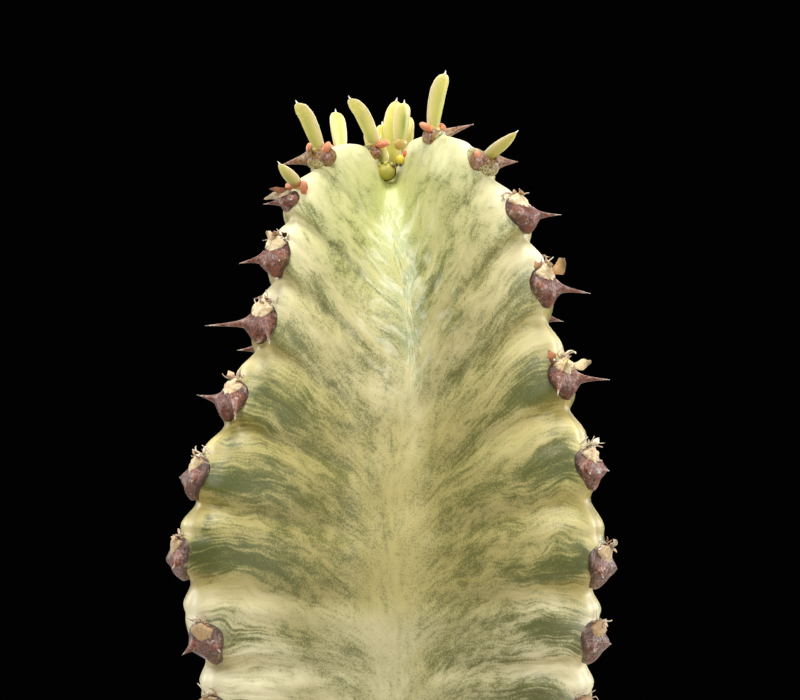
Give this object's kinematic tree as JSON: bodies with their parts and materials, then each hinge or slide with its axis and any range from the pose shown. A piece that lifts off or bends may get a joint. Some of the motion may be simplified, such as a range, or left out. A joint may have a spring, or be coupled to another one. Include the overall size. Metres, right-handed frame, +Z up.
{
  "type": "potted giant milk bush",
  "caption": "Columnar four-winged succulent, marbled cream and green, with paired spines on its notched edges and small leaves at the crown, standing in a plain clay pot.",
  "frame": {"origin": "centre of the pot's foot, on the surface it stands on", "axes": "+Z up along the stem; the broad face seen from the front looks along -Y, and the four wings point between the X and Y axes"},
  "size_m": [0.168, 0.168, 0.3605],
  "materials": {
    "clay": "matte",
    "soil": "matte",
    "plant_skin": "satin",
    "spine_shields": "satin",
    "leaves": "satin",
    "pumice": "matte"
  },
  "bodies": {
    "root": {"pot": "clay", "soil": "soil", "stem": "plant_skin"}
  },
  "joints": []
}
